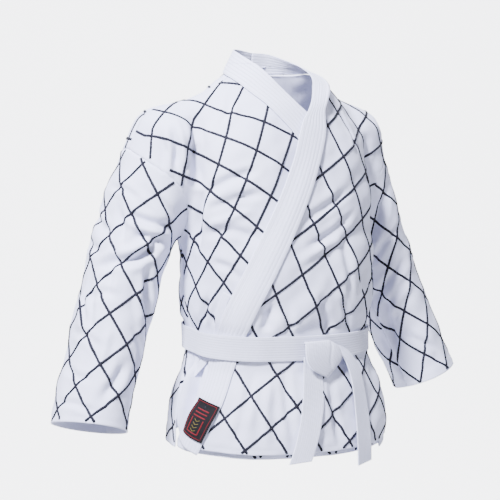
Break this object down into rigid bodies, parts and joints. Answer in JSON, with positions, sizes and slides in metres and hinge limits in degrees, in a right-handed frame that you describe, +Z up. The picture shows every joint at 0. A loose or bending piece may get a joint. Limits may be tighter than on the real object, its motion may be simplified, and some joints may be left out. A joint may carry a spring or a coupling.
{
  "type": "hapkido jacket with belt, worn form",
  "caption": "Wrap-over martial arts jacket of white canvas with stitched collar band, wide sleeves and a tied belt, open at neck, hem and cuffs.",
  "frame": {"origin": "middle of the neck base, where the jacket hangs on the wearer's shoulders", "axes": "+Z up, the front faces -Y, the wearer's left is +X"},
  "size_m": [0.8646, 0.3362, 0.7448],
  "materials": {
    "jacket_cloth": "white cotton canvas with black stitched diamonds",
    "band_cloth": "white canvas band with lengthwise stitch rows",
    "belt_webbing": "white cotton belt with lengthwise stitch rows",
    "label_cloth": "black woven patch"
  },
  "bodies": {
    "root": {"back": "jacket_cloth", "front_left": "jacket_cloth", "front_right": "jacket_cloth", "sleeve_left": "jacket_cloth", "sleeve_right": "jacket_cloth", "lapel_band_left": "band_cloth", "lapel_band_right": "band_cloth", "label_patch": "label_cloth", "belt_wrap": "belt_webbing", "belt_knot": "belt_webbing", "belt_end_a": "belt_webbing", "belt_end_b": "belt_webbing", "tie_side": "jacket_cloth", "tie_lapel": "jacket_cloth"}
  },
  "joints": []
}
